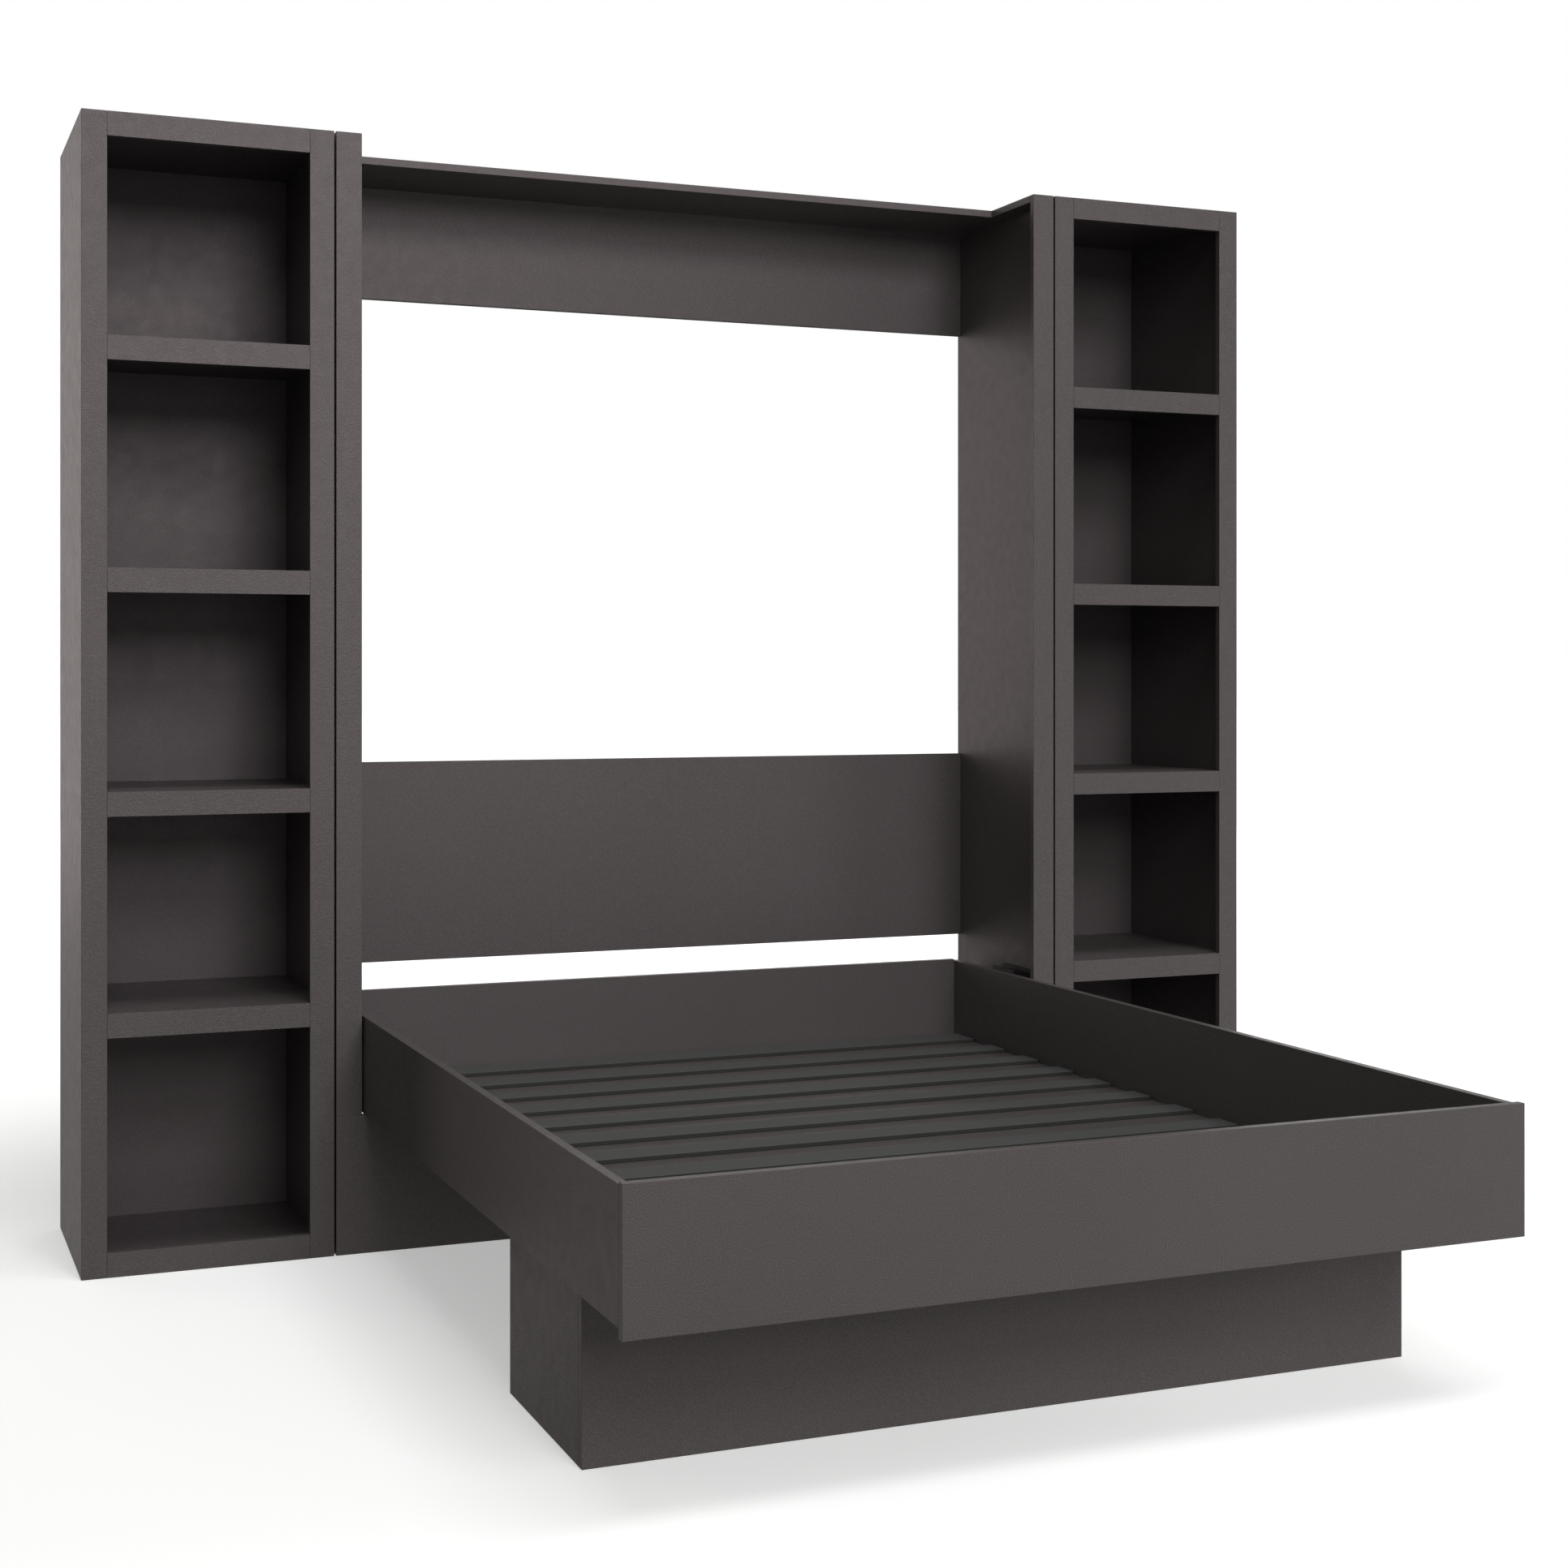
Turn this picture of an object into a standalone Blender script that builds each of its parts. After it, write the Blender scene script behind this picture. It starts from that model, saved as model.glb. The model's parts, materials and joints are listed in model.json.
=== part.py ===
"""Murphy wall bed: a fold-down bed in a wall cabinet, between two open bookcases.

Metres, +Z up. The wall is at +Y and the bed folds down towards -Y.
The origin is on the floor, under the middle of the object as it stands with the bed down.
Depths are measured from the cabinets' front plane, positive towards the wall.
"""
import math

import bpy
from mathutils import Vector

# Overall sizes
TOTAL_WIDTH = 2.669
HEIGHT = 2.300
BOARD = 0.016
JOINT = 0.0003
EDGE = 0.0006
CLEAR = 0.010
BED_PROJECTION = 1.6763

# Bookcases
BOOKCASE_DEPTH = 0.4636
BACK_SHEET = 0.003
STILE_WIDTH = 0.0493
RAIL_HEIGHT = 0.0487
SHELF_TOPS = (0.520, 0.957, 1.400, 1.859)

# Bed cabinet
CABINET_WIDTH = 1.667
MODULE_GAP = 0.0042
CABINET_DEPTH = 0.461
STRIP_WIDTH = 0.0526
KICK_HEIGHT = 0.2842
TOP_CUTOUT_DEPTH = 0.208
STRETCHER_BOTTOM = 2.034
HEADBOARD_Z = (0.540, 0.991)

# Bed box
BED_HALF_WIDTH = 0.7756
BED_BOTTOM = 0.285
RAIL_TOP = 0.4853
FOOT_BOARD_Z = (0.2706, 0.4888)
HEAD_RAIL_TOP = 0.4888
HEAD_DEPTH = 0.380
NOTCH_DEPTH = 0.311
NOTCH_TOP = 0.3045
FACE_SEAMS = (-0.3220, 0.2076)
LEDGER_WIDTH = 0.018
LEDGER_TOP = 0.3012
SLAT_WIDTH = 0.068
HEAD_SLAT_WIDTH = 0.090
SLAT_THICKNESS = 0.008
SLAT_HALF_LENGTH = 0.7555
SLAT_PITCH = 0.1615
SLAT_COUNT = 12
FIRST_SLAT_DEPTH = 0.254
FOOT_CLEAT_WIDTH = 0.040

# Foot under the bed
LEG_HALF_WIDTH = 0.7461
LEG_DEPTH = (-1.3957, -0.9993)

# Folding mechanism: (depth, height) of its centres
PIVOT = (0.1701, 0.4516)
SPRING_ANCHOR = (0.130, 0.075)
SPRING_LUG = (0.1183, 0.4268)
PIN_RADIUS = 0.010
RUNNING_GAP = 0.0003
HINGE_PLATE_X = (0.8055, 0.8172)
HINGE_PLATE_DEPTH = (0.063, 0.202)
HINGE_PLATE_Z = (0.050, 0.4948)
BRACKET_X = (0.7759, 0.7821)
BRACKET_DEPTH = (0.095, 0.194)
BRACKET_Z = (0.408, 0.4926)
SPRING_X = 0.7921
CYLINDER_RADIUS = 0.008
CYLINDER_LENGTH = 0.262
ROD_RADIUS = 0.004
ROD_START = 0.035
STUD_RADIUS = 0.004
LUG_RADIUS = 0.005

# Worked out from the sizes above
FRONT_Y = (BED_PROJECTION - BOOKCASE_DEPTH) / 2
HALF_TOTAL = TOTAL_WIDTH / 2
HALF_CABINET = CABINET_WIDTH / 2
BOOKCASE_WIDTH = HALF_TOTAL - HALF_CABINET - MODULE_GAP
STRIP_INNER = HALF_CABINET - STRIP_WIDTH
GABLE_INNER = HALF_CABINET - BOARD
RAIL_INNER = BED_HALF_WIDTH - BOARD
FOOT_INNER_DEPTH = -BED_PROJECTION + BOARD


def clear_scene():
    """Removes whatever objects the open file holds."""
    for item in list(bpy.data.objects):
        bpy.data.objects.remove(item, do_unlink=True)


def new_collection(name):
    """A collection linked under the scene."""
    collection = bpy.data.collections.new(name)
    bpy.context.scene.collection.children.link(collection)
    return collection


def new_material(name, colour, roughness, metallic=0.0):
    """A Principled material of one colour."""
    material = bpy.data.materials.new(name)
    material.use_nodes = True
    shader = material.node_tree.nodes["Principled BSDF"]
    shader.inputs["Base Color"].default_value = (*colour, 1.0)
    shader.inputs["Roughness"].default_value = roughness
    shader.inputs["Metallic"].default_value = metallic
    material.diffuse_color = (*colour, 1.0)
    return material


def move_to(item, collection):
    """Links an object to one collection only."""
    for old in list(item.users_collection):
        old.objects.unlink(item)
    collection.objects.link(item)


def world(x, depth, z):
    """A point given by its depth behind the cabinets' front plane."""
    return Vector((x, FRONT_Y + depth, z))


def add_box(x, depth, z):
    """A box between two corners, each argument a (low, high) pair."""
    low = world(x[0], depth[0], z[0])
    high = world(x[1], depth[1], z[1])
    bpy.ops.mesh.primitive_cube_add(size=1, location=(low + high) / 2)
    item = bpy.context.object
    item.scale = high - low
    bpy.ops.object.transform_apply(location=False, rotation=False, scale=True)
    return item


def add_pin(x, centre, radius):
    """A round pin along X between two x values, centred on a (depth, height) point."""
    bpy.ops.mesh.primitive_cylinder_add(
        vertices=48,
        radius=radius,
        depth=abs(x[1] - x[0]),
        location=world((x[0] + x[1]) / 2, *centre),
        rotation=(0, math.pi / 2, 0),
    )
    item = bpy.context.object
    item.data.shade_smooth()
    item.data.set_sharp_from_angle(angle=math.radians(40))
    return item


def combine(item, tool, operation):
    """Adds or cuts one solid with another, which stays in the scene as a hidden cutter."""
    boolean = item.modifiers.new(f"{operation.lower()} {tool.name}", "BOOLEAN")
    boolean.operation = operation
    boolean.solver = "EXACT"
    boolean.object = tool
    tool.hide_render = True
    tool.display_type = "WIRE"
    move_to(tool, cutters)


def cut_box(item, x, depth, z):
    """Cuts a box away from a solid; the box runs past whatever sides it opens."""
    combine(item, add_box(x, depth, z), "DIFFERENCE")


def finish(item, name, material, parent=None, edge=EDGE):
    """Names a piece, eases its edges and hangs it on what carries it."""
    item.name = name
    item.data.name = name
    item.data.materials.clear()
    item.data.materials.append(material)
    if edge:
        bevel = item.modifiers.new("eased edges", "BEVEL")
        bevel.width = edge
        bevel.segments = 1
        bevel.limit_method = "ANGLE"
        bevel.angle_limit = math.radians(30)
    move_to(item, parts)
    if parent:
        hang(item, parent)
    return item


def hang(item, parent):
    """Parents an object without moving it."""
    bpy.context.view_layer.update()
    item.parent = parent
    item.matrix_parent_inverse = parent.matrix_world.inverted()


def add_empty(name, centre, x=0.0):
    """An empty on a joint's axis, which runs along X."""
    bpy.ops.object.empty_add(type="ARROWS", radius=0.1, location=world(x, *centre))
    item = bpy.context.object
    item.name = name
    move_to(item, parts)
    return item


def board(name, x, depth, z, material, parent=None):
    """A plain rectangular board."""
    return finish(add_box(x, depth, z), name, material, parent)


def mirrored(side, low, high):
    """An (x low, x high) pair on the side +1 or -1."""
    return tuple(sorted((side * low, side * high)))


def bookcase(name, left):
    """An open bookcase with a face frame, its left edge at x = left."""
    right = left + BOOKCASE_WIDTH
    back = BOOKCASE_DEPTH - BACK_SHEET - JOINT
    bookcase_side(f"{name}_left_side", left, 1, back)
    bookcase_side(f"{name}_right_side", right, -1, back)
    levels = [(f"shelf_{count}", top) for count, top in enumerate(SHELF_TOPS, start=1)]
    levels += [("top", HEIGHT)]
    for level, top in levels:
        shelf = bookcase_level(left, right, back, top)
        cut_box(shelf, (left, right), (BOARD, back + CLEAR), (top - RAIL_HEIGHT - CLEAR, top - BOARD))
        finish(shelf, f"{name}_{level}", graphite)
    bottom = bookcase_level(left, right, back, RAIL_HEIGHT)
    cut_box(bottom, (left, right), (BOARD, back + CLEAR), (BOARD, RAIL_HEIGHT + CLEAR))
    finish(bottom, f"{name}_bottom", graphite)
    sheet_depth = (BOOKCASE_DEPTH - BACK_SHEET, BOOKCASE_DEPTH)
    board(f"{name}_back_panel", (left, right), sheet_depth, (0, HEIGHT), hardboard)


def bookcase_side(name, outer, inward, back):
    """A gable with the face frame's stile on its front edge; inward is +1 or -1 along X."""
    stile_edge = outer + inward * STILE_WIDTH
    side = add_box(sorted((outer, stile_edge)), (0, back), (0, HEIGHT))
    inside = sorted((outer + inward * BOARD, stile_edge + inward * CLEAR))
    cut_box(side, inside, (BOARD, back + CLEAR), (-CLEAR, HEIGHT + CLEAR))
    finish(side, name, graphite)


def bookcase_level(left, right, back, top):
    """A block between the gables, as high as a rail, cut back in front to fit between the stiles."""
    x = (left + BOARD + JOINT, right - BOARD - JOINT)
    rail_x = (left + STILE_WIDTH + JOINT, right - STILE_WIDTH - JOINT)
    block = add_box(x, (0, back), (top - RAIL_HEIGHT, top))
    z = (top - RAIL_HEIGHT - CLEAR, top + CLEAR)
    cut_box(block, (x[0] - CLEAR, rail_x[0]), (-CLEAR, BOARD + JOINT), z)
    cut_box(block, (rail_x[1], x[1] + CLEAR), (-CLEAR, BOARD + JOINT), z)
    return block


def bed_cabinet():
    """The fixed frame that the bed folds into, open between its cross panels."""
    panel_top = HEIGHT - BOARD
    for side, name in ((-1, "left"), (1, "right")):
        gable_x = mirrored(side, GABLE_INNER, HALF_CABINET)
        board(f"gable_{name}", gable_x, (BOARD + JOINT, CABINET_DEPTH), (0, panel_top - JOINT), graphite)
        strip_x = mirrored(side, STRIP_INNER, HALF_CABINET)
        board(f"front_strip_{name}", strip_x, (0, BOARD), (KICK_HEIGHT + JOINT, HEIGHT), graphite)
    board("lower_front_panel", (-HALF_CABINET, HALF_CABINET), (0, BOARD), (0, KICK_HEIGHT), graphite)
    top = add_box((-HALF_CABINET, HALF_CABINET), (BOARD + JOINT, CABINET_DEPTH), (panel_top, HEIGHT))
    cut_box(top, (-STRIP_INNER, STRIP_INNER), (0, TOP_CUTOUT_DEPTH), (panel_top - CLEAR, HEIGHT + CLEAR))
    finish(top, "top_panel", graphite)
    between = (-GABLE_INNER + JOINT, GABLE_INNER - JOINT)
    back = (CABINET_DEPTH - BOARD, CABINET_DEPTH)
    board("top_stretcher", between, back, (STRETCHER_BOTTOM, panel_top - JOINT), graphite)
    board("headboard_panel", between, back, HEADBOARD_Z, graphite)


def bed_box(bed):
    """The shallow box that holds the mattress, and the slats across it."""
    rail_back = FOOT_INNER_DEPTH + JOINT
    for side, name in ((-1, "left"), (1, "right")):
        rail_x = mirrored(side, RAIL_INNER, BED_HALF_WIDTH)
        rail = add_box(rail_x, (rail_back, HEAD_DEPTH), (BED_BOTTOM, RAIL_TOP))
        notch_x = mirrored(side, RAIL_INNER - CLEAR, BED_HALF_WIDTH + CLEAR)
        cut_box(rail, notch_x, (NOTCH_DEPTH, HEAD_DEPTH + CLEAR), (BED_BOTTOM - CLEAR, NOTCH_TOP))
        finish(rail, f"side_rail_{name}", graphite, bed)
        ledger_x = mirrored(side, RAIL_INNER - LEDGER_WIDTH, RAIL_INNER - JOINT)
        board(f"slat_ledger_{name}", ledger_x, (rail_back, NOTCH_DEPTH), (BED_BOTTOM, LEDGER_TOP), graphite, bed)
    foot_depth = (-BED_PROJECTION, FOOT_INNER_DEPTH)
    board("foot_board", (-BED_HALF_WIDTH, BED_HALF_WIDTH), foot_depth, FOOT_BOARD_Z, graphite, bed)
    head_x = (-RAIL_INNER + JOINT, RAIL_INNER - JOINT)
    board("head_rail", head_x, (HEAD_DEPTH - BOARD, HEAD_DEPTH), (NOTCH_TOP, HEAD_RAIL_TOP), graphite, bed)
    face_panels(bed, rail_back)
    slats(bed, rail_back)


def face_panels(bed, foot_end):
    """Three long panels that close the box's underside, which faces the room when it is folded up."""
    edge = RAIL_INNER - LEDGER_WIDTH - JOINT
    seams = (-edge, *FACE_SEAMS, edge)
    for name, low, high in zip(("left", "middle", "right"), seams[:-1], seams[1:]):
        x = (low + JOINT / 2, high - JOINT / 2)
        z = (BED_BOTTOM, BED_BOTTOM + BOARD)
        board(f"face_panel_{name}", x, (foot_end, NOTCH_DEPTH), z, graphite, bed)


def slats(bed, foot_end):
    """Cross slats on the two ledgers, and a narrow cleat against the foot board."""
    bottom = LEDGER_TOP + JOINT
    z = (bottom, bottom + SLAT_THICKNESS)
    x = (-SLAT_HALF_LENGTH, SLAT_HALF_LENGTH)
    for count in range(SLAT_COUNT):
        front = FIRST_SLAT_DEPTH - count * SLAT_PITCH
        width = SLAT_WIDTH if count else HEAD_SLAT_WIDTH
        board(f"slat_{count + 1:02d}", x, (front, front + width), z, slat_grey, bed)
    board("foot_cleat", x, (foot_end, foot_end + FOOT_CLEAT_WIDTH), z, slat_grey, bed)


def bed_leg(bed):
    """The foot that the bed stands on: a front panel with a panel behind each end."""
    z = (0, BED_BOTTOM - JOINT)
    front = (LEG_DEPTH[0], LEG_DEPTH[0] + BOARD)
    board("leg_front_panel", (-LEG_HALF_WIDTH, LEG_HALF_WIDTH), front, z, graphite, bed)
    for side, name in ((-1, "left"), (1, "right")):
        x = mirrored(side, LEG_HALF_WIDTH - BOARD, LEG_HALF_WIDTH)
        board(f"leg_side_panel_{name}", x, (front[1] + JOINT, LEG_DEPTH[1]), z, graphite, bed)


def hinge_plate(side, name):
    """The steel plate on a gable, with the bed's pivot pin and the gas spring's lower stud."""
    plate = add_box(mirrored(side, *HINGE_PLATE_X), HINGE_PLATE_DEPTH, HINGE_PLATE_Z)
    middle = sum(HINGE_PLATE_X) / 2
    pin = add_pin(mirrored(side, BED_HALF_WIDTH + 0.001, middle), PIVOT, PIN_RADIUS)
    stud = add_pin(mirrored(side, SPRING_X - 0.0065, middle), SPRING_ANCHOR, STUD_RADIUS)
    combine(plate, pin, "UNION")
    combine(plate, stud, "UNION")
    finish(plate, f"hinge_plate_{name}", steel, edge=0)


def bed_bracket(side, name, bed):
    """The plate on the bed's rail that turns on the pivot pin and carries the gas spring's lug."""
    plate = add_box(mirrored(side, *BRACKET_X), BRACKET_DEPTH, BRACKET_Z)
    hole_x = mirrored(side, BRACKET_X[0] - 0.002, BRACKET_X[1] + 0.002)
    hole = add_pin(hole_x, PIVOT, PIN_RADIUS + RUNNING_GAP)
    lug_x = mirrored(side, sum(BRACKET_X) / 2, BRACKET_X[1] + 0.003)
    lug = add_pin(lug_x, SPRING_LUG, LUG_RADIUS)
    combine(plate, hole, "DIFFERENCE")
    combine(plate, lug, "UNION")
    finish(plate, f"bed_bracket_{name}", steel, bed, edge=0)


def add_upright(x, radius, low, high):
    """A round bar along Z above the gas spring's anchor, before the spring is leaned."""
    bpy.ops.mesh.primitive_cylinder_add(
        vertices=32,
        radius=radius,
        depth=high - low,
        location=world(x, SPRING_ANCHOR[0], SPRING_ANCHOR[1] + (low + high) / 2),
    )
    item = bpy.context.object
    item.data.shade_smooth()
    item.data.set_sharp_from_angle(angle=math.radians(40))
    return item


def eye(x, height, radius, width):
    """A round eye across the gas spring, at a height above its anchor."""
    centre = (SPRING_ANCHOR[0], SPRING_ANCHOR[1] + height)
    return add_pin((x - width / 2, x + width / 2), centre, radius)


def gas_spring(side, name):
    """A gas cylinder on the hinge plate's stud, and the rod that pushes on the bed's lug."""
    x = side * SPRING_X
    reach = math.dist(SPRING_ANCHOR, SPRING_LUG)
    lean = math.atan2(SPRING_ANCHOR[0] - SPRING_LUG[0], SPRING_LUG[1] - SPRING_ANCHOR[1])
    pivot = add_empty(f"gas_spring_pivot_{name}", SPRING_ANCHOR, x)

    cylinder = add_upright(x, CYLINDER_RADIUS, 0.006, CYLINDER_LENGTH)
    lower_eye = eye(x, 0, 0.010, 0.012)
    stud_hole = eye(x, 0, STUD_RADIUS + RUNNING_GAP, 0.020)
    bore = add_upright(x, ROD_RADIUS + RUNNING_GAP, ROD_START - 0.005, CYLINDER_LENGTH + 0.010)
    combine(cylinder, lower_eye, "UNION")
    combine(cylinder, stud_hole, "DIFFERENCE")
    combine(cylinder, bore, "DIFFERENCE")
    finish(cylinder, f"gas_cylinder_{name}", black_enamel, pivot, edge=0)

    rod = add_upright(x, ROD_RADIUS, ROD_START, reach - 0.006)
    upper_eye = eye(x, reach, 0.009, 0.010)
    lug_hole = eye(x, reach, LUG_RADIUS + RUNNING_GAP, 0.020)
    combine(rod, upper_eye, "UNION")
    combine(rod, lug_hole, "DIFFERENCE")
    finish(rod, f"gas_rod_{name}", chrome, pivot, edge=0)

    for tool in (lower_eye, stud_hole, bore, upper_eye, lug_hole):
        hang(tool, pivot)
    pivot.rotation_euler.x = lean


clear_scene()
parts = new_collection("murphy_wall_bed")
cutters = new_collection("cutters")

graphite = new_material("graphite_board", (0.088, 0.077, 0.078), 0.55)
hardboard = new_material("graphite_back_sheet", (0.088, 0.077, 0.078), 0.65)
slat_grey = new_material("slat_grey", (0.062, 0.062, 0.062), 0.60)
steel = new_material("black_steel", (0.020, 0.020, 0.019), 0.45)
black_enamel = new_material("black_enamel", (0.015, 0.015, 0.016), 0.35)
chrome = new_material("chromed_rod", (0.75, 0.75, 0.76), 0.12, 1.0)

bookcase("left_bookcase", -HALF_TOTAL)
bookcase("right_bookcase", HALF_TOTAL - BOOKCASE_WIDTH)
bed_cabinet()

bed_pivot = add_empty("bed_pivot", PIVOT)
bed_box(bed_pivot)
bed_leg(bed_pivot)

for direction, side_name in ((-1, "left"), (1, "right")):
    hinge_plate(direction, side_name)
    bed_bracket(direction, side_name, bed_pivot)
    gas_spring(direction, side_name)
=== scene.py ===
"""The looks of the murphy wall bed: finishes, small hardware, studio and camera."""
import json
import math

import bmesh
import bpy
from mathutils import Matrix, Vector


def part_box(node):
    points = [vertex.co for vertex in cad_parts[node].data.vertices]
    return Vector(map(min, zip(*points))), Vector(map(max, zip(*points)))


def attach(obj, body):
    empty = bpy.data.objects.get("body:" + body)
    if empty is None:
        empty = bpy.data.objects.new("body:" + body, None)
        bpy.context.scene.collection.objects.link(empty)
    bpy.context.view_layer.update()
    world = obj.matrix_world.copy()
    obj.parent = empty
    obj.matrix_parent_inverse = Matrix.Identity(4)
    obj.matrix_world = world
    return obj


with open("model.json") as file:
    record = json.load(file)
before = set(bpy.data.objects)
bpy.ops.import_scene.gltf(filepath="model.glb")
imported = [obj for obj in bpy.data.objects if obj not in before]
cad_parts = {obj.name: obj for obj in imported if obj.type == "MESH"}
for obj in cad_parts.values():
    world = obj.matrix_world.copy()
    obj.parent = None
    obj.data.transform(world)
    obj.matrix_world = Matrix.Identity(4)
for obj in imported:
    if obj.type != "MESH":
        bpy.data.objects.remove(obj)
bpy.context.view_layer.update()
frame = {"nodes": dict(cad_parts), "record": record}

# Colours of the finishes, linear
GRAPHITE = (0.086, 0.0748, 0.0764)
# the lighter edge colour of the boards is a painted highlight
GRAPHITE_EDGE_HIGHLIGHT = (0.130, 0.114, 0.116)
SLAT_GREY = (0.096, 0.097, 0.096)
SLAT_EDGE = (0.040, 0.040, 0.037)
STEEL_BLACK = (0.020, 0.020, 0.019)
ZINC = (0.50, 0.50, 0.51)
ENAMEL = (0.012, 0.012, 0.013)
CHROME = (0.78, 0.78, 0.80)

# Skin of the boards: its roughness, the tint of its gloss, its pebbles and the painted highlight on its
# edges
BOARD_GLOSS = 0.43
SHEEN = (1.0, 0.86, 0.90)
PEBBLES_PER_METRE = 400.0
PEBBLE_HEIGHT = 0.0008
# share of the painted edge highlight in the boards' colour
EDGE_HIGHLIGHT_SHARE = 0.30

# Camera: where it stands, its turn to the right, its lens in millimetres and its shift
CAMERA_PLACE = (-1.7688, -4.0649, 1.1922)
CAMERA_TURN = math.radians(-22.398)
CAMERA_LENS = 52.50
CAMERA_SHIFT = -0.0709

# Studio: the soft boxes' distance and aim, and the floor's own glow near and far from the object
LIGHT_DISTANCE = 13.0
LIGHT_AIM = (0.0, 0.3, 1.0)
WARM = (1.0, 0.90, 0.90)
SURROUND = (1.0, 1.06, 0.95)
FLOOR_GLOW = 0.42
FLOOR_NEAR = 2.0
FLOOR_FAR = 7.0
FLOOR_HALF_SIZE = 60.0
FLOOR_DROP = 0.0005

# Hardware: heads of the screws and panel pins
SCREW_RADIUS = 0.0042
SCREW_HEIGHT = 0.0016
CROSS_REACH = 0.55 * SCREW_RADIUS
CROSS_WIDTH = 0.12 * SCREW_RADIUS
CROSS_FLOOR = 0.35
NAIL_RADIUS = 0.0022
NAIL_HEIGHT = 0.0008

# Screws in each hinge plate: how many, and their distances from its ends and its back edge
PLATE_SCREWS = 7
PLATE_SCREW_INSET = 0.022
PLATE_SCREW_BACK = 0.016
PIN_CLEARANCE = 0.020
BRACKET_SCREW_INSET = 0.011

# Panel pins in each back sheet: how many up its sides and along its ends, and their insets
PIN_ROWS = 16
PIN_COLUMNS = 3
PIN_INSET = 0.008
PIN_END_INSET = 0.06

# Faces that the hardware sits on: distances from the middle of the bed, and the hinge pin's height
PLATE_FACE = 0.8055
BRACKET_FACE = 0.7821
PIN_HEIGHT = 0.4516


# ---- Node helpers ----

def new_material(name):
    """A material with its Principled shader; returns the material, its tree and the shader."""
    material = bpy.data.materials.new(name)
    material.use_nodes = True
    tree = material.node_tree
    return material, tree, tree.nodes["Principled BSDF"]


def add_node(tree, kind, values=None, **settings):
    """A node with its properties and some of its inputs set."""
    node = tree.nodes.new(kind)
    for key, value in settings.items():
        setattr(node, key, value)
    for key, value in (values or {}).items():
        node.inputs[key].default_value = value
    return node


def place(tree, stretch=(1, 1, 1)):
    """The piece's own coordinates in metres, scaled along each axis."""
    source = add_node(tree, "ShaderNodeTexCoord")
    mapping = add_node(tree, "ShaderNodeMapping", {"Scale": stretch})
    tree.links.new(source.outputs["Object"], mapping.inputs["Vector"])
    return mapping.outputs["Vector"]


def noise(tree, vector, scale, detail=2.0, roughness=0.5):
    """The grey value of a noise texture."""
    values = {"Scale": scale, "Detail": detail, "Roughness": roughness}
    texture = add_node(tree, "ShaderNodeTexNoise", values)
    tree.links.new(vector, texture.inputs["Vector"])
    return texture.outputs["Fac"]


def spread(tree, value, low, high, from_low=0.3, from_high=0.7):
    """Maps a grey value to a range."""
    values = {"From Min": from_low, "From Max": from_high, "To Min": low, "To Max": high}
    node = add_node(tree, "ShaderNodeMapRange", values)
    tree.links.new(value, node.inputs["Value"])
    return node.outputs["Result"]


def tint(tree, factor, dark, light):
    """A colour between two, by a factor."""
    node = add_node(tree, "ShaderNodeMix", data_type="RGBA")
    for socket, colour in ((node.inputs[6], dark), (node.inputs[7], light)):
        if isinstance(colour, tuple):
            socket.default_value = (*colour, 1.0)
        else:
            tree.links.new(colour, socket)
    tree.links.new(factor, node.inputs[0])
    return node.outputs[2]


def bump(tree, height, distance, strength, normal=None):
    """A bump from a height in the range 0 to 1, over an earlier bump if one is given."""
    node = add_node(tree, "ShaderNodeBump", {"Distance": distance, "Strength": strength})
    tree.links.new(height, node.inputs["Height"])
    if normal:
        tree.links.new(normal, node.inputs["Normal"])
    return node.outputs["Normal"]


def edge_wear_and_highlight(tree, radius):
    """1 along the piece's outer edges and 0 on its flats: the mask of the boards' painted edge highlight,
    the black paint's wear and the zinc's bright edges.
    """
    rounded = add_node(tree, "ShaderNodeBevel", {"Radius": radius}, samples=6)
    flat = add_node(tree, "ShaderNodeNewGeometry")
    dot = add_node(tree, "ShaderNodeVectorMath", operation="DOT_PRODUCT")
    tree.links.new(rounded.outputs["Normal"], dot.inputs[0])
    tree.links.new(flat.outputs["Normal"], dot.inputs[1])
    return spread(tree, dot.outputs["Value"], 1.0, 0.0, 0.80, 0.995)


# ---- Finishes ----

def board_finish(name, peel, shade=1.0):
    """Melamine-faced board: a pebbled skin, faint clouding and edges painted slightly lighter as a
    highlight.
    """
    material, tree, shader = new_material(name)
    vector = place(tree)
    dark = tuple(shade * 0.95 * value for value in GRAPHITE)
    light = tuple(shade * 1.05 * value for value in GRAPHITE)
    cloud = spread(tree, noise(tree, vector, 2.6, 3.0), 0.0, 1.0)
    clouded = tint(tree, cloud, dark, light)
    pebble = noise(tree, vector, PEBBLES_PER_METRE, 1.5, 0.55)
    speck = spread(tree, pebble, 0.0, 0.8, 0.40, 0.70)
    specked = tint(tree, speck, clouded, tuple(1.45 * shade * value for value in GRAPHITE))
    # the edges are lightened: a painted highlight along the boards' edges
    highlight_share = add_node(tree, "ShaderNodeMath", {1: EDGE_HIGHLIGHT_SHARE}, operation="MULTIPLY")
    tree.links.new(edge_wear_and_highlight(tree, 0.0014), highlight_share.inputs[0])
    coloured = tint(tree, highlight_share.outputs[0], specked, GRAPHITE_EDGE_HIGHLIGHT)
    tree.links.new(coloured, shader.inputs["Base Color"])
    gloss = spread(tree, noise(tree, vector, 38.0, 4.0), BOARD_GLOSS - 0.04, BOARD_GLOSS + 0.04)
    tree.links.new(gloss, shader.inputs["Roughness"])
    shader.inputs["Specular IOR Level"].default_value = 0.5
    shader.inputs["Specular Tint"].default_value = (*SHEEN, 1.0)
    pebbles = bump(tree, pebble, PEBBLE_HEIGHT, peel)
    grain = bump(tree, noise(tree, vector, 1100.0, 2.0), 0.0002, 0.35 * peel, pebbles)
    tree.links.new(grain, shader.inputs["Normal"])
    return material


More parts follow.
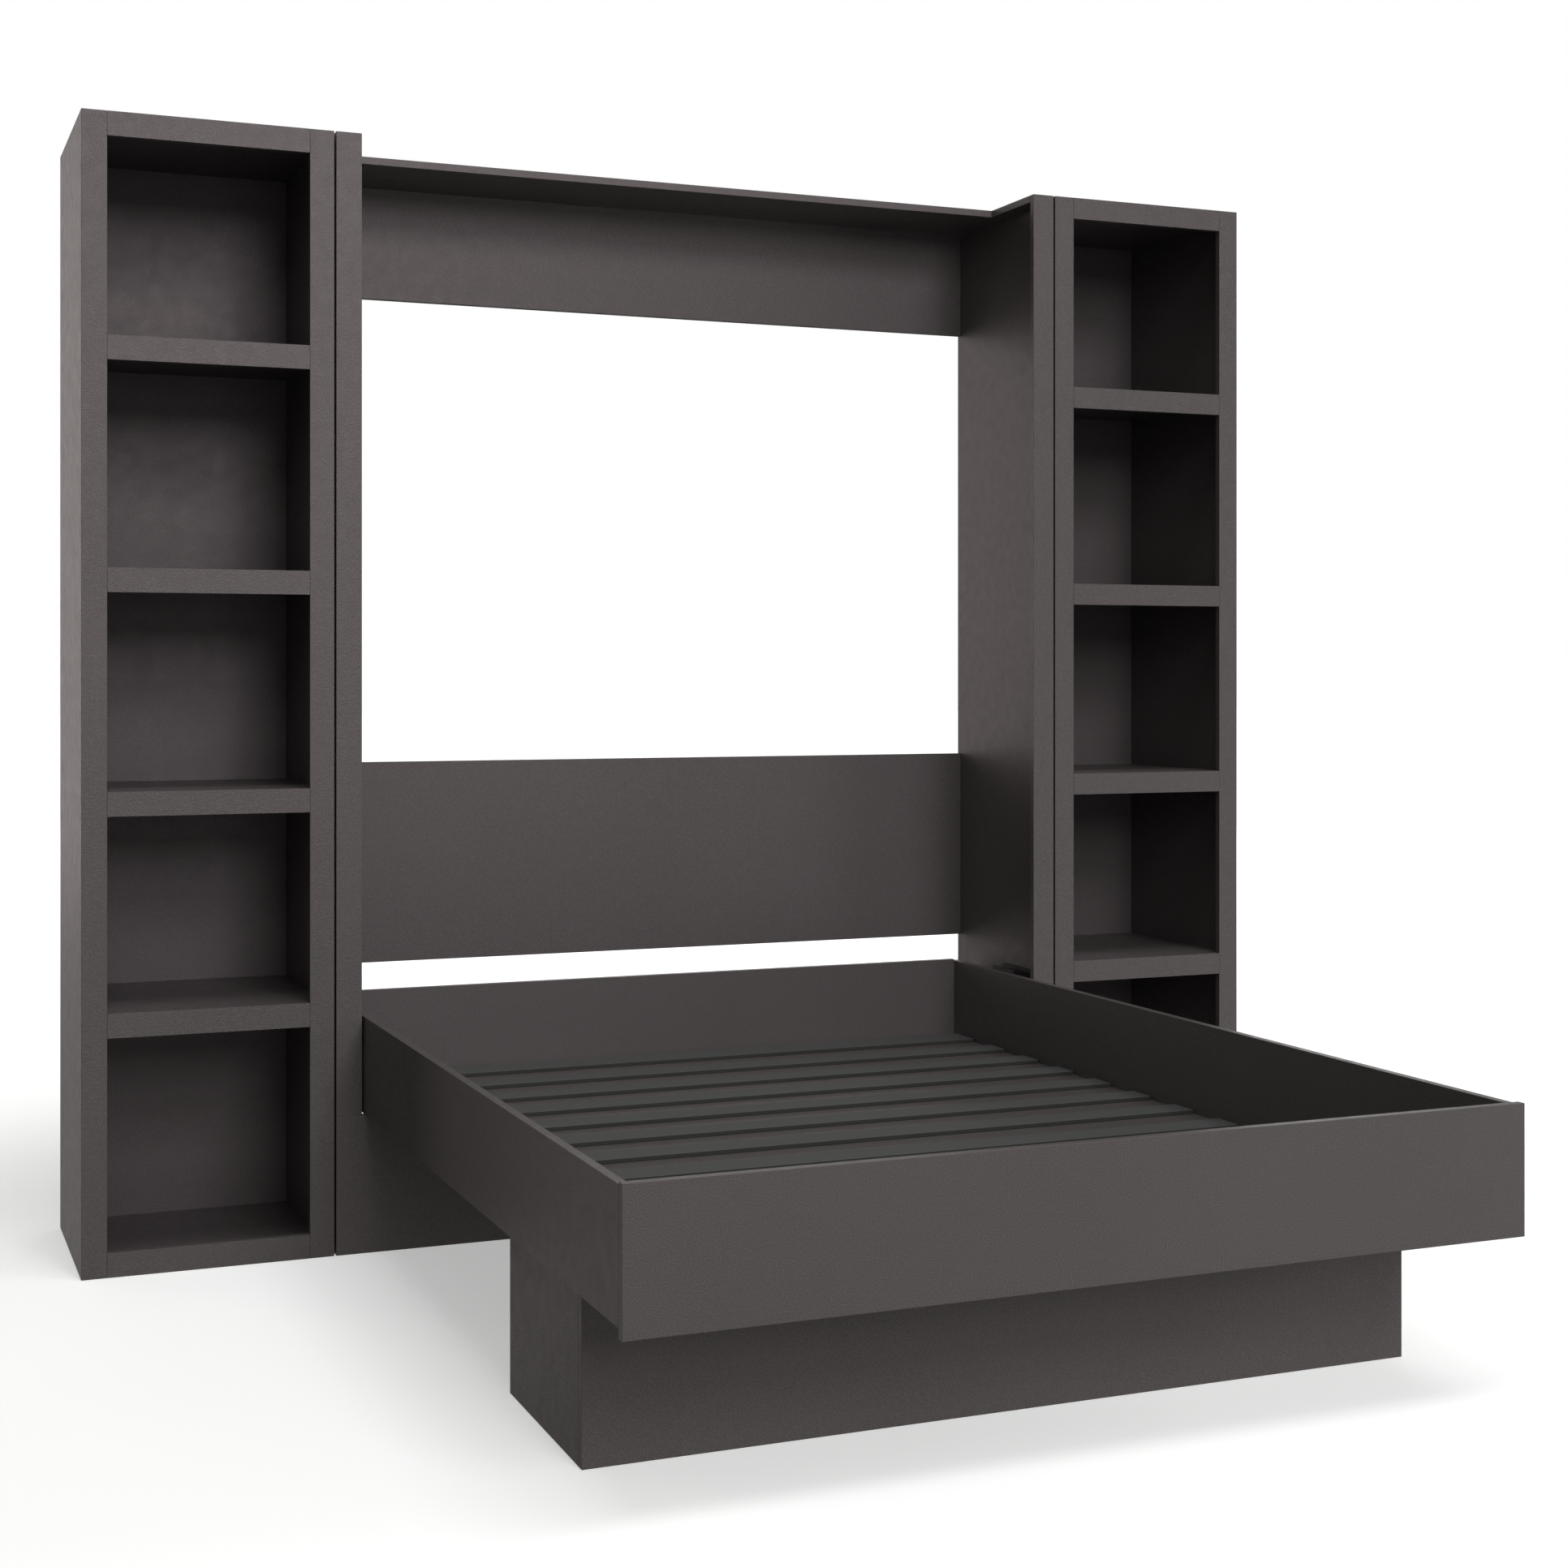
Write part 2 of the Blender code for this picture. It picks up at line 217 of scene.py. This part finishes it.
def slat_finish():
    """Neutral grey foil on the slats, with faint streaks along their length."""
    material, tree, shader = new_material("slat_foil")
    streaks = spread(tree, noise(tree, place(tree, (1.5, 90, 90)), 4.0, 5.0), 0.0, 1.0)
    dark = tuple(0.92 * value for value in SLAT_GREY)
    light = tuple(1.08 * value for value in SLAT_GREY)
    faced = tint(tree, streaks, dark, light)
    # the long edges, facing sideways, are coloured darker than the two broad faces
    source = add_node(tree, "ShaderNodeTexCoord")
    split = add_node(tree, "ShaderNodeSeparateXYZ")
    tree.links.new(source.outputs["Normal"], split.inputs[0])
    upright = add_node(tree, "ShaderNodeMath", operation="ABSOLUTE")
    tree.links.new(split.outputs["Z"], upright.inputs[0])
    broad = spread(tree, upright.outputs[0], 0.0, 1.0, 0.3, 0.8)
    tree.links.new(tint(tree, broad, SLAT_EDGE, faced), shader.inputs["Base Color"])
    gloss = spread(tree, streaks, 0.60, 0.70, 0.0, 1.0)
    tree.links.new(gloss, shader.inputs["Roughness"])
    shader.inputs["Specular IOR Level"].default_value = 0.15
    skin = bump(tree, noise(tree, place(tree), 700.0, 2.0), 0.0002, 0.25)
    tree.links.new(skin, shader.inputs["Normal"])
    return material


def zinc_finish():
    """Zinc-plated sheet steel: mottled, with fine rolling marks and bright edges."""
    material, tree, shader = new_material("zinc_plate")
    vector = place(tree)
    cells = add_node(tree, "ShaderNodeTexVoronoi", {"Scale": 190.0})
    tree.links.new(vector, cells.inputs["Vector"])
    mottle = spread(tree, cells.outputs["Distance"], 0.0, 1.0, 0.0, 0.9)
    dark = tuple(0.86 * value for value in ZINC)
    plated = tint(tree, mottle, dark, ZINC)
    bright = tuple(1.3 * value for value in ZINC)
    tree.links.new(tint(tree, edge_wear_and_highlight(tree, 0.0008), plated, bright), shader.inputs["Base Color"])
    shader.inputs["Metallic"].default_value = 1.0
    rolled = noise(tree, place(tree, (1, 1, 0.03)), 900.0, 3.0)
    tree.links.new(spread(tree, rolled, 0.28, 0.46), shader.inputs["Roughness"])
    tree.links.new(bump(tree, rolled, 0.0001, 0.3), shader.inputs["Normal"])
    return material


def black_steel_finish():
    """Satin black paint on sheet steel: a fine orange peel, with bare metal just showing at the edges."""
    material, tree, shader = new_material("black_steel")
    vector = place(tree)
    cloud = spread(tree, noise(tree, vector, 30.0, 3.0), 0.0, 1.0)
    dark = tuple(0.85 * value for value in STEEL_BLACK)
    light = tuple(1.15 * value for value in STEEL_BLACK)
    edge = add_node(tree, "ShaderNodeMath", {1: 0.35}, operation="MULTIPLY")
    tree.links.new(edge_wear_and_highlight(tree, 0.0006), edge.inputs[0])
    painted = tint(tree, edge.outputs[0], tint(tree, cloud, dark, light), (0.16, 0.16, 0.16))
    tree.links.new(painted, shader.inputs["Base Color"])
    tree.links.new(spread(tree, cloud, 0.40, 0.52, 0.0, 1.0), shader.inputs["Roughness"])
    peel = bump(tree, noise(tree, vector, 800.0, 2.0), 0.0002, 0.3)
    tree.links.new(peel, shader.inputs["Normal"])
    return material


def enamel_finish():
    """Black enamel on the gas cylinders, with a slight orange peel."""
    material, tree, shader = new_material("black_enamel")
    vector = place(tree)
    shine = spread(tree, noise(tree, vector, 260.0, 2.0), 0.24, 0.36)
    shader.inputs["Base Color"].default_value = (*ENAMEL, 1.0)
    tree.links.new(shine, shader.inputs["Roughness"])
    tree.links.new(bump(tree, noise(tree, vector, 500.0), 0.0002, 0.2), shader.inputs["Normal"])
    return material


def chrome_finish():
    """Hard chrome on the gas rods, with fine polishing rings."""
    material, tree, shader = new_material("chromed_rod")
    rings = noise(tree, place(tree, (0.05, 0.05, 1)), 4000.0, 2.0)
    shader.inputs["Base Color"].default_value = (*CHROME, 1.0)
    shader.inputs["Metallic"].default_value = 1.0
    tree.links.new(spread(tree, rings, 0.08, 0.16), shader.inputs["Roughness"])
    tree.links.new(bump(tree, rings, 0.00005, 0.15), shader.inputs["Normal"])
    return material


def dress_frame():
    """Gives every CAD node the finish of its material slot."""
    finishes = {
        "board": board_finish("graphite_board", 0.75),
        "back_sheet": board_finish("graphite_back_sheet", 0.75, 0.94),
        "slat": slat_finish(),
        "steel": black_steel_finish(),
        "black_enamel": enamel_finish(),
        "chrome": chrome_finish(),
    }
    for part in frame["record"]["subparts"]:
        mesh = frame["nodes"][part["node"]].data
        mesh.materials.clear()
        mesh.materials.append(finishes[part["material_slot"]])
    return finishes


# ---- Small hardware ----

def domed_head(radius, height, segments):
    """Half of a flattened ball, closed by a flat underneath, standing along +Z from the origin."""
    head = bmesh.new()
    bmesh.ops.create_uvsphere(head, u_segments=2 * segments, v_segments=segments, radius=radius)
    below = [vertex for vertex in head.verts if vertex.co.z < -1e-6]
    bmesh.ops.delete(head, geom=below, context="VERTS")
    rim = [edge for edge in head.edges if edge.is_boundary]
    bmesh.ops.contextual_create(head, geom=rim)
    for vertex in head.verts:
        vertex.co.z *= height / radius
    return head


def head_mesh(name, head, material):
    """Turns a fastener's head into a smooth mesh with its finish."""
    mesh = bpy.data.meshes.new(name)
    head.to_mesh(mesh)
    head.free()
    mesh.materials.append(material)
    mesh.shade_smooth()
    return mesh


def screw_mesh(material):
    """A pan-head screw with a cross recess."""
    head = domed_head(SCREW_RADIUS, SCREW_HEIGHT, 16)
    for vertex in head.verts:
        across = max(abs(vertex.co.x), abs(vertex.co.y))
        narrow = min(abs(vertex.co.x), abs(vertex.co.y))
        if across < CROSS_REACH and narrow < CROSS_WIDTH and vertex.co.z > 0:
            vertex.co.z *= CROSS_FLOOR
    mesh = head_mesh("pan_head_screw", head, material)
    mesh.set_sharp_from_angle(angle=math.radians(35))
    return mesh


def nail_mesh(material):
    """The low domed head of a panel pin."""
    head = domed_head(NAIL_RADIUS, NAIL_HEIGHT, 8)
    return head_mesh("panel_pin_head", head, material)


def fasten(name, mesh, point, outward, body):
    """Puts a fastener's head on a face, its top pointing outward."""
    item = bpy.data.objects.new(name, mesh)
    bpy.context.scene.collection.objects.link(item)
    turn = Vector((0, 0, 1)).rotation_difference(Vector(outward))
    item.matrix_world = Matrix.Translation(point) @ turn.to_matrix().to_4x4()
    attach(item, body)


def mechanism_screws(mesh):
    """Screws in the plates on the gables and in the brackets on the bed's rails."""
    for side, name in ((-1, "left"), (1, "right")):
        low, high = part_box(f"hinge_plate_{name}")
        # the plate's own face lies behind the pin and the stud that stand out of it
        plate_x = side * PLATE_FACE
        row_y = high.y - PLATE_SCREW_BACK
        pitch = (high.z - low.z - 2 * PLATE_SCREW_INSET) / (PLATE_SCREWS - 1)
        for count in range(PLATE_SCREWS):
            z = low.z + PLATE_SCREW_INSET + count * pitch
            if abs(z - PIN_HEIGHT) > PIN_CLEARANCE:
                point = (plate_x, row_y, z)
                fasten(f"plate_screw_{name}_{count + 1}", mesh, point, (-side, 0, 0), "cabinet")
        low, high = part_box(f"bed_bracket_{name}")
        bracket_x = side * BRACKET_FACE
        # the two front screws are set in from their corners, the lower one behind the gas spring's lug
        corners = (
            (low.y + 0.025, high.z - BRACKET_SCREW_INSET),
            (high.y - BRACKET_SCREW_INSET, high.z - BRACKET_SCREW_INSET),
            (high.y - BRACKET_SCREW_INSET, low.z + BRACKET_SCREW_INSET),
            (low.y + 0.039, low.z + 0.010),
        )
        for count, (y, z) in enumerate(corners, start=1):
            point = (bracket_x, y, z)
            fasten(f"bracket_screw_{name}_{count}", mesh, point, (side, 0, 0), "bed")


def back_sheet_pins(mesh):
    """Panel pins round the edges of the bookcases' back sheets."""
    for name in ("left_bookcase", "right_bookcase"):
        low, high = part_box(f"{name}_back_panel")
        pitch = (high.z - low.z - 2 * PIN_END_INSET) / (PIN_ROWS - 1)
        for count in range(PIN_ROWS):
            z = low.z + PIN_END_INSET + count * pitch
            for side, x in (("left", low.x + PIN_INSET), ("right", high.x - PIN_INSET)):
                point = (x, high.y, z)
                fasten(f"{name}_pin_{side}_{count + 1}", mesh, point, (0, 1, 0), "cabinet")
        for level, z in (("top", high.z - PIN_INSET), ("bottom", low.z + PIN_INSET)):
            for count in range(1, PIN_COLUMNS + 1):
                x = low.x + count * (high.x - low.x) / (PIN_COLUMNS + 1)
                point = (x, high.y, z)
                fasten(f"{name}_pin_{level}_{count}", mesh, point, (0, 1, 0), "cabinet")


# ---- Studio ----

def studio_floor():
    """A pale floor that brightens with distance, so that it runs into the white surround."""
    mesh = bpy.data.meshes.new("floor")
    plane = bmesh.new()
    bmesh.ops.create_grid(plane, x_segments=1, y_segments=1, size=FLOOR_HALF_SIZE)
    plane.to_mesh(mesh)
    plane.free()
    floor = bpy.data.objects.new("floor", mesh)
    bpy.context.scene.collection.objects.link(floor)
    floor.location.z = -FLOOR_DROP
    # the floor's own bounce comes from the surround, so that it stays the same for every floor tone
    floor.visible_diffuse = False
    floor.visible_glossy = False
    floor.visible_shadow = False
    material, tree, shader = new_material("pale_floor")
    vector = place(tree)
    soft = spread(tree, noise(tree, vector, 0.8, 2.0), 0.0, 1.0)
    tree.links.new(tint(tree, soft, (0.88, 0.88, 0.88), (0.92, 0.92, 0.92)), shader.inputs["Base Color"])
    shader.inputs["Roughness"].default_value = 0.9
    away = add_node(tree, "ShaderNodeVectorMath", operation="LENGTH")
    tree.links.new(vector, away.inputs[0])
    glow = spread(tree, away.outputs["Value"], FLOOR_GLOW, 1.0, FLOOR_NEAR, FLOOR_FAR)
    shader.inputs["Emission Color"].default_value = (1.0, 1.0, 1.0, 1.0)
    tree.links.new(glow, shader.inputs["Emission Strength"])
    mesh.materials.append(material)


def studio_light(name, azimuth, elevation, width, height, brightness, colour=(1.0, 1.0, 1.0)):
    """A soft box by its direction from the front, to the left and upwards, in degrees."""
    data = bpy.data.lights.new(name, "AREA")
    data.shape = "RECTANGLE"
    data.size = 2 * LIGHT_DISTANCE * math.tan(math.radians(width / 2))
    data.size_y = 2 * LIGHT_DISTANCE * math.tan(math.radians(height / 2))
    data.energy = brightness * math.pi * data.size * data.size_y
    data.color = colour
    light = bpy.data.objects.new(name, data)
    bpy.context.scene.collection.objects.link(light)
    turn = math.radians(azimuth)
    rise = math.radians(elevation)
    outward = Vector((-math.sin(turn) * math.cos(rise), -math.cos(turn) * math.cos(rise), math.sin(rise)))
    light.location = Vector(LIGHT_AIM) + LIGHT_DISTANCE * outward
    light.rotation_euler = outward.to_track_quat("Z", "Y").to_euler()


def studio_lights():
    """The soft boxes: mainly from the front and above, with weaker ones from the sides and behind."""
    studio_light("key", -11, 30, 12, 12, 10.4)
    studio_light("key_side", 8, 29, 24, 12, 3.4)
    studio_light("front", -1, 16, 16, 12, 8.8)
    studio_light("front_low", 2, -4, 28, 20, 0.85)
    studio_light("right_low", -44, -12, 24, 14, 2.1)
    studio_light("right_side", -75, 18, 22, 12, 7.0)
    studio_light("back", 166, 7, 36, 26, 0.90, WARM)
    studio_light("back_low", 148, -12, 42, 16, 0.40, WARM)
    studio_light("back_side", 132, 10, 14, 26, 2.0, WARM)
    studio_light("back_right", -150, 12, 30, 20, 1.8)
    studio_light("top", -12, 70, 40, 15, 5.4)


def studio_world(above, below):
    """A white surround: full white to the camera, and a soft light of its own from above and below."""
    world = bpy.data.worlds.new("studio")
    world.use_nodes = True
    tree = world.node_tree
    surround = tree.nodes["Background"]
    surround.inputs["Color"].default_value = (*SURROUND, 1.0)
    direction = add_node(tree, "ShaderNodeTexCoord")
    split = add_node(tree, "ShaderNodeSeparateXYZ")
    tree.links.new(direction.outputs["Generated"], split.inputs[0])
    strength = spread(tree, split.outputs["Z"], below, above, -0.04, 0.04)
    tree.links.new(strength, surround.inputs["Strength"])
    seen = add_node(tree, "ShaderNodeBackground", {"Color": (1.0, 1.0, 1.0, 1.0), "Strength": 1.0})
    path = add_node(tree, "ShaderNodeLightPath")
    mix = add_node(tree, "ShaderNodeMixShader")
    tree.links.new(path.outputs["Is Camera Ray"], mix.inputs[0])
    tree.links.new(surround.outputs[0], mix.inputs[1])
    tree.links.new(seen.outputs[0], mix.inputs[2])
    tree.links.new(mix.outputs[0], tree.nodes["World Output"].inputs["Surface"])
    bpy.context.scene.world = world


def studio_camera():
    """The camera in front of the object and to its left, level, with its view shifted down."""
    data = bpy.data.cameras.new("camera")
    data.sensor_width = 36.0
    data.lens = CAMERA_LENS
    data.shift_y = CAMERA_SHIFT
    data.clip_end = 200.0
    camera = bpy.data.objects.new("camera", data)
    bpy.context.scene.collection.objects.link(camera)
    camera.location = CAMERA_PLACE
    camera.rotation_euler = (math.radians(90), 0, CAMERA_TURN)
    bpy.context.scene.camera = camera


studio_camera()
finish = dress_frame()
mechanism_screws(screw_mesh(finish["steel"]))
back_sheet_pins(nail_mesh(zinc_finish()))
studio_floor()
studio_world(0.16, 0.13)
studio_lights()
bpy.context.scene.view_settings.view_transform = "Standard"
